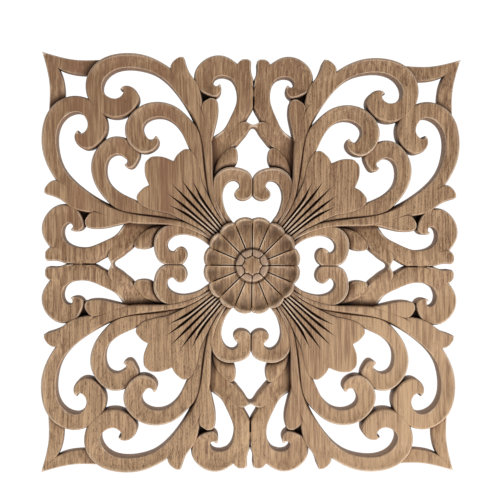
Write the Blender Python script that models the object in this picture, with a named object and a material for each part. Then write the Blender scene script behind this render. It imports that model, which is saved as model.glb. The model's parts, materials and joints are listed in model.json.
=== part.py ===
"""Carved wood onlay: a square pierced panel of leaf scrolls round a sixteen-petal rosette.

The panel stands upright in the XZ plane. Its flat back lies on y = 0 and its carved face looks
along -Y. The origin is the centre of the back. The ornament repeats by mirroring across X and Z.
Each scroll or leaf is a pair of smooth rails that the carving runs between. Each line of a table
gives both rails at one place, in millimetres: across (X), up (Z) and height above the back, for
the left rail and then for the right rail.
"""

import math

import bmesh
import bpy
import numpy as np

MM = 0.001

# Driving dimensions, in millimetres.
HALF_SPAN = 100.0  # from the centre to a horn's tip, each way
BOSS_HEIGHT = 11.5  # the whole thickness
OVERRUN = 2.0  # how far each body runs behind the back before the back is sawn flat
STAGGER = 0.11  # difference between two bodies' overrun, so that no two ends lie in one plane
UNDER = 0.2  # how much lower a leaf lies when it passes under its mirror image
WASTE_MARGIN = 5.0  # how far the sawn-off waste stands out past the horns

# How closely the smooth rails are faceted.
CHORD_ERROR = 0.35  # of a faceted rail from the smooth one
LOBE_ERROR = 0.12  # the same for the palmette's outline
LONGEST_FACET = 24.0
FINE_STEPS = 600
TINY = 1e-9  # keeps a division off zero
BISECT_DISTANCE = 1e-7  # metres
MERGE_DISTANCE = 1e-6

# The rosette: radii from its axis, and heights above the back.
PETALS = 16
PETAL_TIP = 23.4
PETAL_NOTCH = 21.7
PETAL_RIM = 1.4  # width of the slope along a petal's outer edge
PETAL_ROOT = 8.2
PETAL_SHOULDER = 0.55  # where the shoulder lies, as a share of a petal's half width
PETAL_LINE_HEIGHT = 9.2  # at the line between two petals
PETAL_SHOULDER_HEIGHT = 9.9
PETAL_SCOOP_HEIGHT = 8.7
PETAL_EDGE_HEIGHT = 9.4
PETAL_ROOT_HEIGHT = 9.3
RING_EDGE = 7.6
RING_HEIGHT = 10.5
RING_CREASE = 0.6  # how deep the creases are that part the ring's teeth
RING_DIP = 0.3  # how much lower the ring is at the boss
BOSS_CORNER = 4.8
BOSS_SIDE = 4.1
BOSS_CHAMFER = 0.7
BOSS_CHAMFER_DROP = 0.4

# A flute is a V groove. It has its depth at the rosette and runs out at the palmette's rim.
FLUTE_WIDTH = 1.3
FLUTE_DEPTH = 1.5
FLUTE_CLEARANCE = 1.0
FLUTE_LIFT = 0.05  # how far the cutter's end stands above the face
FLUTE_STEPS = 5

# The wood's finish.
WOOD_COLOUR = (0.36, 0.21, 0.11, 1)
WOOD_ROUGHNESS = 0.6

OUTER_SCROLL = (
    (7.4, 14.0, 6.2, 9.6, 12.6, 5.2),
    (14.0, 23.8, 7.4, 16.8, 23.0, 5.2),
    (17.0, 31.0, 7.7, 20.9, 30.6, 5.2),
    (18.8, 40.0, 7.9, 22.9, 39.8, 5.3),
    (19.2, 50.0, 8.0, 24.2, 50.0, 5.5),
    (19.9, 60.0, 8.0, 25.4, 60.0, 5.7),
    (26.0, 77.0, 8.0, 31.6, 74.0, 6.8),
    (40.0, 93.5, 8.4, 45.0, 89.4, 7.8),
    (50.7, 98.8, 8.6, 53.0, 92.4, 8.2),
    (62.0, 99.9, 8.6, 61.8, 92.8, 8.2),
    (73.0, 96.2, 8.6, 69.2, 89.2, 8.2),
    (79.3, 86.5, 8.6, 71.6, 82.8, 8.2),
    (76.6, 75.2, 8.6, 68.8, 79.2, 8.2),
    (65.8, 69.1, 8.7, 64.8, 78.5, 8.2),
    (57.0, 72.8, 8.7, 62.4, 80.0, 8.2),
    (54.5, 79.4, 8.6, 62.3, 81.8, 8.2),
    (57.8, 83.9, 8.5, 62.9, 83.0, 8.3),
    (60.5, 84.4, 8.4, 62.8, 83.4, 8.3),
)
OUTER_SCROLL_DIP = {10: 0.3, 11: 1.0, 12: 1.4, 13: 0.5}  # of the left rail, beneath its mirror image
INNER_SCROLL = (
    (20.4, 34.0, 4.8, 23.6, 34.0, 4.8),
    (22.2, 45.0, 5.0, 26.4, 44.6, 6.0),
    (23.2, 55.0, 5.8, 28.6, 51.8, 6.2),
    (25.2, 63.8, 6.6, 30.9, 56.2, 7.0),
    (30.6, 70.0, 7.8, 34.0, 62.8, 7.6),
    (37.0, 75.2, 8.1, 39.1, 68.3, 7.9),
    (46.0, 77.3, 8.2, 45.3, 69.9, 7.9),
    (55.3, 74.0, 8.2, 50.6, 67.9, 7.8),
    (60.5, 66.5, 8.2, 52.3, 64.2, 7.7),
    (58.8, 57.2, 8.3, 50.5, 60.5, 7.7),
    (52.6, 52.8, 8.3, 48.6, 59.7, 7.7),
    (47.0, 54.2, 8.2, 47.2, 60.1, 7.8),
    (45.2, 57.6, 8.1, 46.4, 60.9, 7.9),
)
# The inner scroll on the other side of the palmette is a little smaller and passes beneath.
LOWER_SCROLL = (
    (20.4, 34.0, 4.8, 23.6, 34.0, 4.8),
    (22.2, 45.0, 5.0, 26.4, 44.6, 6.0),
    (23.2, 55.0, 5.8, 28.6, 51.8, 6.2),
    (25.2, 63.8, 6.6, 30.9, 56.2, 7.0),
    (30.4, 69.6, 7.8, 34.0, 62.8, 7.6),
    (37.0, 74.3, 8.1, 39.1, 68.3, 7.9),
    (46.0, 76.5, 8.1, 45.3, 69.7, 7.9),
    (54.6, 73.3, 8.0, 50.6, 67.9, 7.6),
    (60.1, 66.5, 7.7, 52.1, 64.0, 7.4),
    (58.5, 57.5, 7.0, 50.6, 61.0, 7.3),
    (53.0, 53.6, 7.2, 48.8, 59.9, 7.3),
    (48.0, 55.2, 7.6, 47.6, 60.2, 7.5),
    (46.3, 58.0, 7.8, 46.9, 60.5, 7.7),
)
EDGE_SCROLL = (
    (18.6, 37.0, 3.6, 20.4, 37.0, 3.6),
    (18.0, 43.0, 4.4, 20.4, 43.0, 4.3),
    (16.0, 49.5, 5.2, 20.3, 50.0, 4.6),
    (9.3, 56.6, 6.6, 20.4, 60.2, 4.8),
    (5.4, 60.8, 6.8, 14.6, 63.6, 6.6),
    (3.4, 69.0, 6.6, 10.8, 69.4, 7.6),
    (0.6, 75.5, 7.7, 8.4, 76.0, 8.0),
    (-0.6, 82.0, 7.5, 8.1, 82.2, 8.0),
    (0.8, 88.5, 8.1, 10.4, 88.1, 8.0),
    (9.1, 96.8, 8.5, 13.2, 90.6, 8.0),
    (17.0, 99.6, 8.5, 16.5, 91.0, 8.0),
    (24.5, 96.6, 8.4, 18.9, 89.6, 8.0),
    (28.9, 90.6, 7.9, 19.2, 87.3, 7.9),
    (26.5, 83.5, 7.8, 19.0, 85.7, 7.8),
    (22.0, 80.7, 8.2, 18.3, 85.1, 7.8),
    (18.0, 80.2, 8.2, 17.6, 85.1, 7.8),
    (15.9, 82.6, 8.2, 17.0, 85.5, 7.9),
    (16.0, 84.8, 8.1, 16.6, 86.0, 8.0),
)
SMALL_SCROLL = (
    (9.6, 15.4, 6.4, 6.8, 15.0, 6.8),
    (11.9, 20.1, 6.6, 8.8, 19.8, 7.2),
    (15.2, 24.6, 6.9, 12.0, 24.4, 7.4),
    (17.8, 30.8, 7.1, 14.0, 30.0, 7.6),
    (19.3, 38.5, 7.3, 14.2, 34.5, 7.8),
    (17.3, 43.6, 8.0, 13.0, 38.0, 7.8),
    (12.8, 46.6, 8.3, 10.8, 40.1, 7.8),
    (6.5, 46.6, 8.3, 8.3, 40.4, 7.8),
    (1.2, 43.9, 8.1, 6.7, 39.2, 7.7),
    (-0.6, 39.0, 7.6, 6.3, 38.0, 7.7),
    (0.2, 33.3, 8.0, 6.8, 37.0, 7.7),
    (4.2, 31.1, 8.2, 7.6, 36.2, 7.8),
    (7.8, 33.2, 8.1, 8.2, 35.4, 7.9),
)
SPEAR = (
    (23.0, 72.0, 7.6, 30.0, 72.0, 6.0),
    (25.0, 81.0, 8.4, 32.5, 80.0, 7.0),
    (27.2, 86.8, 8.8, 36.5, 86.5, 7.9),
    (30.6, 91.3, 9.0, 39.2, 91.8, 8.6),
    (32.3, 95.6, 9.0, 39.3, 94.8, 8.8),
    (32.9, 97.5, 8.9, 37.8, 96.8, 8.8),
    (33.6, 98.5, 8.8, 35.4, 98.4, 8.8),
)
LOBE = (
    (18.9, 58.0, 7.4, 21.0, 57.0, 6.9),
    (18.2, 64.0, 8.3, 22.5, 63.5, 7.2),
    (17.0, 70.0, 8.7, 24.0, 70.0, 7.4),
    (16.7, 75.3, 8.8, 24.4, 75.0, 8.2),
    (17.5, 78.4, 8.8, 22.8, 77.7, 8.6),
    (18.9, 79.2, 8.7, 20.8, 79.1, 8.7),
)
LEAF_TIP = (
    (1.0, 86.0, 7.2, 6.0, 88.0, 7.0),
    (1.2, 91.0, 8.7, 7.4, 91.8, 8.2),
    (1.2, 95.0, 8.8, 8.0, 95.0, 8.6),
    (1.5, 97.2, 8.8, 7.0, 96.6, 8.7),
    (3.2, 98.0, 8.7, 5.4, 97.9, 8.7),
)
BOW_LEAF = (
    (8.5, 56.5, 7.2, 15.0, 62.0, 5.6),
    (5.6, 60.2, 7.9, 9.5, 66.3, 7.4),
    (2.8, 63.9, 8.1, 4.8, 68.5, 8.3),
    (0.0, 65.7, 8.2, 1.8, 67.8, 8.3),
    (-0.9, 65.9, 8.1, -0.9, 66.8, 8.2),
)
BUD = (
    (18.2, 41.0, 4.9, 20.0, 42.0, 4.9),
    (16.0, 43.5, 4.8, 18.0, 47.0, 4.8),
    (12.5, 45.5, 5.2, 16.0, 52.0, 5.2),
    (9.2, 46.6, 5.6, 12.8, 55.0, 6.0),
    (7.6, 49.6, 6.4, 10.0, 56.2, 6.6),
    (7.6, 52.8, 6.9, 8.5, 55.6, 7.0),
)
HORN = (
    (69.0, 97.6, 4.8, 75.0, 90.0, 4.6),
    (77.0, 97.0, 5.0, 80.0, 89.7, 5.0),
    (85.0, 96.8, 5.6, 86.0, 90.2, 5.4),
    (92.5, 98.0, 6.2, 91.8, 92.0, 5.5),
    (HALF_SPAN, HALF_SPAN, 6.6, 98.5, 96.5, 6.2),
)
# Low webs that join the outer scroll's curl to the inner scroll, and the edge scroll's to the lobe.
CURL_WEB = (
    (57.8, 68.8, 6.4, 60.6, 71.7, 6.4),
    (53.7, 73.0, 6.4, 56.4, 75.3, 6.4),
)
POCKET_WEB = (
    (17.8, 77.4, 6.2, 17.5, 82.2, 6.2),
    (21.0, 77.0, 4.0, 21.0, 82.6, 4.0),
    (25.6, 76.0, 3.2, 27.4, 84.0, 3.2),
)
# Half of the palmette's outline, from the rosette to its tip. The other half is its mirror image.
PALMETTE = (
    ((10.0, 14.0), (13.3, 20.3), (15.8, 23.2), (18.5, 28.0), (20.6, 32.0), (22.6, 36.0)),
    ((22.6, 36.0), (24.5, 40.5), (25.3, 45.0), (26.5, 49.5), (28.0, 52.7), (30.2, 54.9)),
    ((30.2, 54.9), (32.2, 55.2), (34.6, 53.8), (36.7, 51.6), (37.8, 49.4)),
    ((37.8, 49.4), (39.5, 50.1), (42.5, 51.2), (46.0, 51.5), (49.3, 50.6), (49.9, 49.9)),
)
PALMETTE_SLOPE = (7.0, 7.9)  # height at the rosette and at the tip
FLUTES = (
    ((14.6, 17.9), (20.3, 25.3), (24.8, 32.2), (28.4, 39.5)),
    ((15.2, 16.7), (22.8, 25.3), (28.6, 33.0), (33.9, 40.2)),
    ((16.0, 16.0), (38.3, 38.3)),
)


def spline(knots, reach, places):
    """Values of the smooth cubic through the knots, bent least at its two ends."""
    count = len(reach)
    step = np.diff(reach)
    slope = np.diff(knots, axis=0) / step[:, None]
    matrix = np.zeros((count, count))
    target = np.zeros(knots.shape)
    matrix[0, :2] = 2, 1
    matrix[-1, -2:] = 1, 2
    target[0] = 3 * slope[0]
    target[-1] = 3 * slope[-1]
    for i in range(1, count - 1):
        matrix[i, i - 1 : i + 2] = step[i], 2 * (step[i - 1] + step[i]), step[i - 1]
        target[i] = 3 * (step[i] * slope[i - 1] + step[i - 1] * slope[i])
    tangent = np.linalg.solve(matrix, target)
    i = np.clip(np.searchsorted(reach, places, side="right") - 1, 0, count - 2)
    h = step[i][:, None]
    t = ((places - reach[i]) / step[i])[:, None]
    start = (1 + 2 * t) * (1 - t) ** 2 * knots[i] + t * (1 - t) ** 2 * h * tangent[i]
    end = t * t * (3 - 2 * t) * knots[i + 1] + t * t * (t - 1) * h * tangent[i + 1]
    return start + end


def faceted(knots, flat, error=CHORD_ERROR):
    """The knots' smooth curve at as few places as keep to the error. flat lists its plane axes in pairs."""
    knots = np.array(knots, float)
    plane = [axis for pair in flat for axis in pair]
    chords = np.diff(knots[:, plane], axis=0)
    reach = np.concatenate([[0], np.cumsum(np.sqrt((chords**2).sum(axis=1) / len(flat)))])
    fine = np.linspace(0, reach[-1], FINE_STEPS)
    curve = spline(knots, reach, fine)
    first = np.gradient(curve, fine, axis=0)
    second = np.gradient(first, fine, axis=0)
    density = np.full(FINE_STEPS, 1 / LONGEST_FACET)
    for across, up in flat:
        turn = np.abs(first[:, across] * second[:, up] - first[:, up] * second[:, across])
        speed = np.hypot(first[:, across], first[:, up]) + TINY
        density = np.maximum(density, np.sqrt(turn / (8 * error * speed)))
    spent = np.concatenate([[0], np.cumsum((density[1:] + density[:-1]) / 2 * np.diff(fine))])
    count = max(2, math.ceil(spent[-1]) + 1)
    places = np.interp(np.linspace(0, spent[-1], count), spent, fine)
    return spline(knots, reach, places)


def corner(shape, x, z, height):
    """A new vertex of the bmesh, given in millimetres: across, up and height above the back."""
    return shape.verts.new((x * MM, -height * MM, z * MM))


def body(name, rings):
    """A closed mesh object skinned over rings of points (across, up, height), with both ends capped."""
    shape = bmesh.new()
    rows = [[corner(shape, *point) for point in ring] for ring in rings]
    for near, far in zip(rows, rows[1:]):
        for i in range(len(near)):
            j = (i + 1) % len(near)
            shape.faces.new((near[i], near[j], far[j], far[i]))
    shape.faces.new(rows[0])
    shape.faces.new(rows[-1])
    return finished(name, shape)


def finished(name, shape):
    """An object of the bmesh, in triangles that face out. It is hidden, as it is merged into another."""
    shape.normal_update()
    bmesh.ops.triangulate(shape, faces=shape.faces, ngon_method="EAR_CLIP")
    bmesh.ops.recalc_face_normals(shape, faces=shape.faces)
    mesh = bpy.data.meshes.new(name)
    shape.to_mesh(mesh)
    shape.free()
    made = bpy.data.objects.new(name, mesh)
    bpy.context.scene.collection.objects.link(made)
    made.hide_render = True
    made.display_type = "WIRE"
    return made


def mirrored(points):
    """The points with across and up swapped: their mirror image in the diagonal."""
    return [(point[1], point[0], *point[2:]) for point in points]


def leaf(name, knots, overrun, swapped=False):
    """A scroll or leaf between two rails, with upright sides."""
    rings = []
    for row in faceted(knots, ((0, 1), (3, 4))):
        left = tuple(row[:3])
        right = tuple(row[3:])
        top = [left, right]
        if swapped:
            top = [(x, z, height - UNDER) for x, z, height in mirrored(top)]
        start = (*top[0][:2], -overrun)
        end = (*top[1][:2], -overrun)
        rings.append([start, *top, end])
    return body(name, rings)


def dipped(knots, depths):
    """The knots with the left rail lowered at some of them."""
    return [(*row[:2], row[2] - depths.get(i, 0), *row[3:]) for i, row in enumerate(knots)]


def palmette(name, overrun):
    """The leaf along the diagonal: a flat lobed shape that rises towards its tip."""
    half = []
    for part in PALMETTE:
        half += [tuple(point) for point in faceted(part, ((0, 1),), LOBE_ERROR)][:-1]
    outline = half + [PALMETTE[-1][-1]] + mirrored(reversed(half))
    top = [(x, z, face_height(x, z)) for x, z in outline]
    bottom = [(x, z, -overrun) for x, z in outline]
    return body(name, [bottom, top])


def face_height(x, z):
    """Height of the palmette's face, which rises evenly along the diagonal."""
    low, high = PALMETTE_SLOPE
    start = sum(PALMETTE[0][0])
    end = sum(PALMETTE[-1][-1])
    return low + (high - low) * (x + z - start) / (end - start)


def flute(name, knots, swapped):
    """The cutter of one V groove. Its bottom rises out of the face, so that the groove ends in a point."""
    reach = np.linspace(0, 1, len(knots))
    path = spline(np.array(knots, float), reach, np.linspace(0, 1, FLUTE_STEPS))
    if swapped:
        path = path[:, ::-1]
    along = np.gradient(path, axis=0)
    along /= np.hypot(along[:, 0], along[:, 1])[:, None]
    rings = []
    left_over = np.linspace(1, 0, FLUTE_STEPS)
    depths = FLUTE_DEPTH * np.minimum(1, 2 * left_over)  # full over the first half
    depths[-1] = -FLUTE_LIFT
    for (x, z), (dx, dz), depth in zip(path, along, depths):
        half = (depth + FLUTE_CLEARANCE) * FLUTE_WIDTH / 2 / FLUTE_DEPTH
        top = face_height(x, z) + FLUTE_CLEARANCE
        left = (x - dz * half, z + dx * half, top)
        right = (x + dz * half, z - dx * half, top)
        rings.append([left, right, (x, z, face_height(x, z) - depth)])
    return body(name, rings)


def petal_column(shape, petal, share, overrun):
    """A column of vertices from the back over a petal to the boss.

    share is the place across the petal, from -1 at one side to 1 at the other.
    """
    angle = (2 * petal + 1 + share) * math.pi / PETALS
    edge = PETAL_NOTCH + (PETAL_TIP - PETAL_NOTCH) * math.sqrt(1 - share**2)
    rim = PETAL_RIM * (1 - abs(share) / 3)
    height = PETAL_SHOULDER_HEIGHT
    if share == 0:
        height = PETAL_SCOOP_HEIGHT
    elif abs(share) == 1:
        height = PETAL_LINE_HEIGHT
    ring_height = RING_HEIGHT
    boss = BOSS_SIDE
    if share == -1 and petal % 2 == 0:
        ring_height -= RING_CREASE
        boss = BOSS_CORNER
    column = (
        (edge, -overrun),
        (edge, PETAL_EDGE_HEIGHT),
        (edge - rim, height),
        (PETAL_ROOT, PETAL_ROOT_HEIGHT),
        (RING_EDGE, ring_height),
        (boss, ring_height - RING_DIP),
        (boss - BOSS_CHAMFER, BOSS_HEIGHT - BOSS_CHAMFER_DROP),
    )
    sine = math.sin(angle)
    cosine = math.cos(angle)
    return [corner(shape, radius * cosine, radius * sine, level) for radius, level in column]


def rosette(name, overrun):
    """Sixteen scooped petals round a ring of eight teeth and a low boss."""
    shape = bmesh.new()
    shares = (-1, -PETAL_SHOULDER, 0, PETAL_SHOULDER)
    places = [(petal, share) for petal in range(PETALS) for share in shares]
    columns = [petal_column(shape, petal, share, overrun) for petal, share in places]
    crown = corner(shape, 0, 0, BOSS_HEIGHT)
    shape.faces.new([column[0] for column in columns])
    for near, far in zip(columns, columns[1:] + columns[:1]):
        for i in range(len(near) - 1):
            shape.faces.new((near[i], near[i + 1], far[i + 1], far[i]))
        shape.faces.new((near[-1], crown, far[-1]))
    return finished(name, shape)


def boolean(target, operation, operand):
    """Adds an exact Boolean of an object or a collection to the target."""
    modifier = target.modifiers.new(operation.title(), "BOOLEAN")
    modifier.operation = operation
    modifier.solver = "EXACT"
    if isinstance(operand, bpy.types.Collection):
        modifier.operand_type = "COLLECTION"
        modifier.collection = operand
    else:
        modifier.object = operand


def group(name, members):
    """A collection of helper objects."""
    made = bpy.data.collections.new(name)
    bpy.context.scene.collection.children.link(made)
    for member in members:
        made.objects.link(member)
        bpy.context.scene.collection.objects.unlink(member)
    return made


def slab(name, depth):
    """The waste that is sawn off behind the back."""
    side = HALF_SPAN + WASTE_MARGIN
    corners = [(-side, -side), (side, -side), (side, side), (-side, side)]
    return body(name, [[(x, z, -depth) for x, z in corners], [(x, z, 0) for x, z in corners]])


def wood():
    """Bare, finely sanded hardwood."""
    material = bpy.data.materials.new("bare_wood")
    material.use_nodes = True
    shader = material.node_tree.nodes["Principled BSDF"]
    shader.inputs["Base Color"].default_value = WOOD_COLOUR
    shader.inputs["Roughness"].default_value = WOOD_ROUGHNESS
    shader.inputs["Metallic"].default_value = 0
    material.diffuse_color = WOOD_COLOUR
    return material


def quarter():
    """The scrolls and leaves of the quarter with across and up above zero."""
    plain = {
        "edge_scroll": EDGE_SCROLL,
        "small_scroll": SMALL_SCROLL,
        "spear": SPEAR,
        "lobe": LOBE,
        "leaf_tip": LEAF_TIP,
        "bow_leaf": BOW_LEAF,
        "bud": BUD,
        "horn": HORN,
        "curl_web": CURL_WEB,
        "pocket_web": POCKET_WEB,
    }
    pairs = [(name, knots, knots) for name, knots in plain.items()]
    pairs.append(("outer_scroll", OUTER_SCROLL, dipped(OUTER_SCROLL, OUTER_SCROLL_DIP)))
    pairs.append(("inner_scroll", INNER_SCROLL, LOWER_SCROLL))
    made = []
    for i, (name, upper, lower) in enumerate(pairs):
        made.append(leaf(f"{name}_upper", upper, OVERRUN + STAGGER * 2 * i))
        made.append(leaf(f"{name}_lower", lower, OVERRUN + STAGGER * (2 * i + 1), swapped=True))
    fan = palmette("palmette", OVERRUN + STAGGER * 2 * len(pairs))
    cutters = [flute(f"flute_{i}_upper", knots, False) for i, knots in enumerate(FLUTES)]
    cutters += [flute(f"flute_{i}_lower", knots, True) for i, knots in enumerate(FLUTES[:-1])]
    boolean(fan, "DIFFERENCE", group("flutes", cutters))
    return made + [fan]


def main():
    for old in list(bpy.data.objects):
        bpy.data.objects.remove(old, do_unlink=True)
    leaves = quarter()
    deepest = OVERRUN + STAGGER * (len(leaves) + 1)
    onlay = rosette("carved_onlay", deepest)
    boolean(onlay, "UNION", group("leaves", leaves))
    boolean(onlay, "DIFFERENCE", slab("waste", 2 * deepest))
    mirror = onlay.modifiers.new("Mirror", "MIRROR")
    mirror.use_axis = (True, False, True)
    mirror.use_bisect_axis = (True, False, True)
    mirror.bisect_threshold = BISECT_DISTANCE
    mirror.use_clip = True
    mirror.merge_threshold = MERGE_DISTANCE
    onlay.data.materials.append(wood())
    onlay.hide_render = False
    onlay.display_type = "SOLID"


if __name__ == "__main__":
    main()
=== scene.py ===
"""Looks of a carved wood onlay: a square pierced panel of leaf scrolls round a rosette.

The panel stands upright, with its flat back on y = 0 and its carved face towards -Y. Every leaf and
scroll is a strand between two smooth rails, with a rounded arris on both sides. The strands of one
quarter are joined to the palmette and the rosette, the veins are cut, and the quarter is mirrored.
Sizes in the tables are in millimetres: across (X), up (Z) and height above the back.
"""

import json
import logging
import math
from dataclasses import dataclass, replace
from enum import Enum
from typing import Any, Iterable, Sequence, Union

import bmesh
import bpy
import numpy as np
from mathutils import Matrix, Vector

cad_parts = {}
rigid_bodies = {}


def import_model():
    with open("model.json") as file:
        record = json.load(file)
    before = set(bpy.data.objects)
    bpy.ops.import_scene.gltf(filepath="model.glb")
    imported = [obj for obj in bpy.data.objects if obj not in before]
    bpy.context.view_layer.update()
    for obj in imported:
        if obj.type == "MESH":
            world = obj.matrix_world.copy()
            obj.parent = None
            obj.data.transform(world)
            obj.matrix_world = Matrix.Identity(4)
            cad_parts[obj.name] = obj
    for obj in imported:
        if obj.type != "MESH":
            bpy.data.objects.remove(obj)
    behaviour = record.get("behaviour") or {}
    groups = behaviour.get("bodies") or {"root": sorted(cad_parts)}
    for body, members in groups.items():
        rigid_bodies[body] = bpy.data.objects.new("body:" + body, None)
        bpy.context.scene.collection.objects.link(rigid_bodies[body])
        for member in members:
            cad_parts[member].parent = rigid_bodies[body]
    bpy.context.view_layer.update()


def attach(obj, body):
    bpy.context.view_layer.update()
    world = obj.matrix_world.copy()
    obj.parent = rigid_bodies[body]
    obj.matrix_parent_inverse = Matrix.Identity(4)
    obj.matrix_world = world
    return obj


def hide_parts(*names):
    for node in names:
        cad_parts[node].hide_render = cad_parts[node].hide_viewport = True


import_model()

log = logging.getLogger("carved_onlay")

MM = 0.001
HALF_SPAN = 100.0
OVERRUN = 1.5  # how far each body runs behind the back before the back is sawn flat
STAGGER = 0.05  # difference between two bodies' overrun, so that no two ends lie in one plane
UNDER = 0.2  # how much lower a leaf lies when it passes under its mirror image

Row = tuple[float, ...]

# A strand has one row per knot: its left rail's across, up and height, its right rail's, and how
# far its face is crowned, or hollow where that is below zero. Left and right are as seen from the
# root, and SMALL_SCROLL has them swapped. Every strand is drawn above the quarter's diagonal, and
# its fellow below the diagonal is made by swapping across and up.
OUTER_SCROLL: tuple[Row, ...] = (
    (7.4, 14.0, 6.2, 9.6, 12.6, 5.8, 0.2),
    (14.0, 23.8, 7.4, 16.6, 23.0, 6.8, 0.3),
    (17.0, 31.0, 7.7, 20.7, 30.6, 7.0, 0.4),
    (18.8, 40.0, 7.9, 22.7, 39.8, 7.2, 0.4),
    (19.2, 50.0, 8.0, 24.0, 50.0, 7.4, 0.4),
    (19.9, 60.0, 8.0, 25.8, 60.0, 7.6, 0.3),
    (26.0, 77.0, 8.0, 31.6, 74.0, 8.0, 0.1),
    (40.0, 93.5, 8.5, 45.0, 89.4, 7.4, -0.1),
    (50.7, 98.8, 8.7, 53.0, 92.4, 7.4, -0.3),
    (62.0, 99.8, 8.7, 61.8, 92.8, 7.3, -0.4),
    (73.0, 96.2, 8.7, 69.2, 89.2, 7.3, -0.4),
    (79.3, 86.5, 8.7, 71.6, 82.8, 7.3, -0.4),
    (76.6, 75.2, 8.7, 68.8, 79.2, 7.3, -0.4),
    (65.8, 69.1, 8.8, 64.8, 78.5, 7.4, -0.4),
    (57.0, 72.8, 8.8, 62.4, 80.0, 7.5, -0.3),
    (54.2, 79.4, 8.7, 61.7, 81.4, 7.7, -0.2),
    (56.9, 83.5, 8.6, 61.8, 82.1, 7.9, 0.0),
    (60.3, 84.6, 8.4, 62.2, 82.6, 8.3, 0.0),
    (62.2, 83.9, 8.3, 62.7, 82.7, 8.3, 0.0),
    (63.1, 82.9, 8.3, 63.0, 82.6, 8.3, 0.0),
)
OUTER_SCROLL_DIP = {10: 0.3, 11: 1.0, 12: 1.4, 13: 0.5}  # of the left rail, beneath its mirror image
INNER_SCROLL: tuple[Row, ...] = (
    (20.6, 34.0, 6.0, 23.6, 34.0, 6.0, 0.2),
    (22.7, 45.0, 6.6, 26.4, 44.6, 6.8, 0.2),
    (23.8, 55.0, 7.2, 28.6, 51.8, 7.0, 0.2),
    (25.6, 63.6, 7.6, 30.9, 56.2, 7.2, 0.1),
    (30.6, 70.0, 7.8, 34.0, 62.8, 7.2, 0.0),
    (37.0, 75.2, 8.2, 39.1, 68.3, 7.2, -0.2),
    (46.0, 77.3, 8.3, 45.3, 69.9, 7.1, -0.3),
    (55.3, 74.1, 8.3, 50.6, 67.9, 7.0, -0.4),
    (60.6, 66.6, 8.3, 52.3, 64.2, 6.9, -0.4),
    (58.8, 57.2, 8.4, 50.5, 60.5, 7.0, -0.4),
    (52.6, 52.8, 8.4, 49.4, 59.6, 7.2, -0.3),
    (47.2, 54.2, 8.3, 48.1, 59.5, 7.5, -0.1),
    (44.8, 57.4, 8.1, 47.2, 60.0, 7.9, 0.0),
    (44.9, 59.5, 8.0, 46.8, 60.6, 7.9, 0.0),
    (45.8, 61.0, 8.0, 46.4, 61.1, 7.9, 0.0),
)
# The inner scroll on the other side of the palmette is a little smaller and passes beneath.
LOWER_SCROLL: tuple[Row, ...] = (
    *INNER_SCROLL[:4],
    (30.4, 69.6, 7.8, 34.0, 62.8, 7.2, 0.0),
    (37.0, 74.4, 8.1, 39.1, 68.3, 7.2, -0.2),
    (46.0, 76.8, 8.2, 45.3, 69.7, 7.1, -0.3),
    (55.2, 73.9, 8.1, 50.6, 67.9, 6.9, -0.4),
    (60.5, 66.9, 7.8, 52.1, 64.0, 6.7, -0.4),
    (58.5, 57.5, 7.0, 50.6, 61.0, 6.7, -0.4),
    (53.0, 53.6, 7.2, 49.6, 59.9, 6.9, -0.3),
    (48.0, 55.2, 7.6, 48.5, 59.9, 7.3, -0.1),
    (45.5, 57.7, 7.8, 48.0, 60.2, 7.7, 0.0),
    (45.8, 59.7, 7.8, 47.7, 60.6, 7.7, 0.0),
    (46.9, 60.9, 7.8, 47.4, 60.9, 7.7, 0.0),
)
EDGE_SCROLL: tuple[Row, ...] = (
    (18.6, 37.0, 3.6, 20.4, 37.0, 3.6, 0.0),
    (18.0, 43.0, 4.0, 20.4, 43.0, 3.9, -0.3),
    (16.0, 49.5, 4.8, 20.3, 50.0, 3.8, -0.6),
    (9.3, 56.6, 6.6, 20.4, 60.2, 4.0, -0.6),
    (5.4, 60.8, 6.8, 15.4, 63.8, 6.2, 0.2),
    (3.2, 69.0, 6.6, 11.4, 69.6, 7.6, 0.7),
    (0.0, 75.2, 7.6, 8.6, 76.0, 8.0, 0.6),
    (-0.4, 82.0, 7.6, 7.9, 81.8, 8.0, 0.5),
    (0.3, 86.0, 7.6, 8.7, 85.4, 8.0, 0.4),
    (3.0, 91.2, 7.9, 10.4, 88.2, 8.0, 0.1),
    (8.6, 96.5, 8.3, 12.3, 89.4, 7.4, -0.2),
    (12.6, 98.9, 8.5, 14.0, 89.9, 7.2, -0.3),
    (17.0, 99.7, 8.6, 15.8, 89.9, 7.2, -0.3),
    (24.3, 96.9, 8.5, 18.2, 88.9, 7.2, -0.3),
    (28.3, 90.6, 8.0, 19.2, 87.2, 7.2, -0.3),
    (26.5, 83.5, 7.9, 19.0, 86.0, 7.3, -0.2),
    (22.0, 80.7, 8.3, 18.4, 85.4, 7.5, -0.1),
    (17.9, 79.8, 8.2, 17.7, 85.2, 7.8, 0.0),
    (15.7, 81.9, 8.2, 17.1, 85.4, 7.9, 0.0),
    (15.4, 84.2, 8.1, 16.7, 85.8, 8.0, 0.0),
    (15.9, 85.9, 8.1, 16.4, 86.0, 8.0, 0.0),
)
LEAF_TIP: tuple[Row, ...] = (
    (-0.4, 82.0, 6.2, 4.0, 84.0, 6.6, 0.0),
    (-0.3, 87.4, 8.0, 6.6, 88.6, 7.9, 0.0),
    (1.0, 90.8, 8.5, 7.9, 92.0, 8.1, 0.0),
    (1.4, 95.0, 8.8, 8.1, 95.2, 8.4, 0.0),
    (1.5, 97.1, 8.8, 7.0, 96.9, 8.5, 0.0),
    (3.0, 98.0, 8.7, 5.4, 98.0, 8.6, 0.0),
)
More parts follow.
